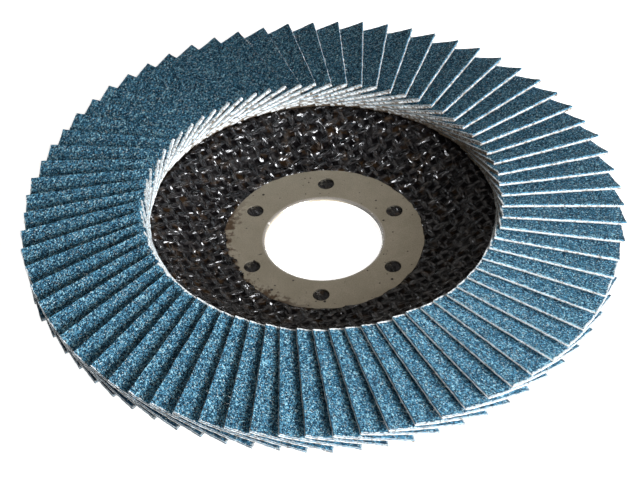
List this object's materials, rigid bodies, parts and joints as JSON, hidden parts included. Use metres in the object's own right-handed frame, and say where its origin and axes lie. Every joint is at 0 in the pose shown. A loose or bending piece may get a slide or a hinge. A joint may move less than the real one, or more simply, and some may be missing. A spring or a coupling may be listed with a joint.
{
  "type": "conical flap disc",
  "caption": "Conical abrasive flap disc for an angle grinder: overlapping cloth flaps on a glass-fibre plate round a steel mounting ring.",
  "frame": {"origin": "centre of the bore, in the rear face of the hub that seats on the grinder's flange", "axes": "+Z along the bore axis, from the rear face towards the working side with the abrasive flaps; +X lies midway between two keying holes, rotated 30 degrees from each"},
  "size_m": [0.115, 0.115, 0.0118],
  "materials": {
    "ring_steel": "satin, slightly pitted, with resin and rust at the edge",
    "plate_resin": "glossy black resin over woven glass mesh",
    "adhesive": "set amber-brown adhesive",
    "abrasive_cloth": "coarse blue grit on white woven cloth"
  },
  "bodies": {
    "root": {"mounting_ring": "ring_steel", "front_glass_ply": "plate_resin", "middle_glass_ply": "plate_resin", "rear_glass_ply": "plate_resin", "adhesive_bed": "adhesive", "flap_pair_01": "abrasive_cloth", "flap_pair_02": "abrasive_cloth", "flap_pair_03": "abrasive_cloth", "flap_pair_04": "abrasive_cloth", "flap_pair_05": "abrasive_cloth", "flap_pair_06": "abrasive_cloth", "flap_pair_07": "abrasive_cloth", "flap_pair_08": "abrasive_cloth", "flap_pair_09": "abrasive_cloth", "flap_pair_10": "abrasive_cloth", "flap_pair_11": "abrasive_cloth", "flap_pair_12": "abrasive_cloth", "flap_pair_13": "abrasive_cloth", "flap_pair_14": "abrasive_cloth", "flap_pair_15": "abrasive_cloth", "flap_pair_16": "abrasive_cloth", "flap_pair_17": "abrasive_cloth", "flap_pair_18": "abrasive_cloth", "flap_pair_19": "abrasive_cloth", "flap_pair_20": "abrasive_cloth", "flap_pair_21": "abrasive_cloth", "flap_pair_22": "abrasive_cloth", "flap_pair_23": "abrasive_cloth", "flap_pair_24": "abrasive_cloth", "flap_pair_25": "abrasive_cloth", "flap_pair_26": "abrasive_cloth", "flap_pair_27": "abrasive_cloth", "flap_pair_28": "abrasive_cloth", "flap_pair_29": "abrasive_cloth", "flap_pair_30": "abrasive_cloth", "flap_pair_31": "abrasive_cloth", "flap_pair_32": "abrasive_cloth", "flap_pair_33": "abrasive_cloth", "flap_pair_34": "abrasive_cloth", "flap_pair_35": "abrasive_cloth", "flap_pair_36": "abrasive_cloth"}
  },
  "joints": []
}
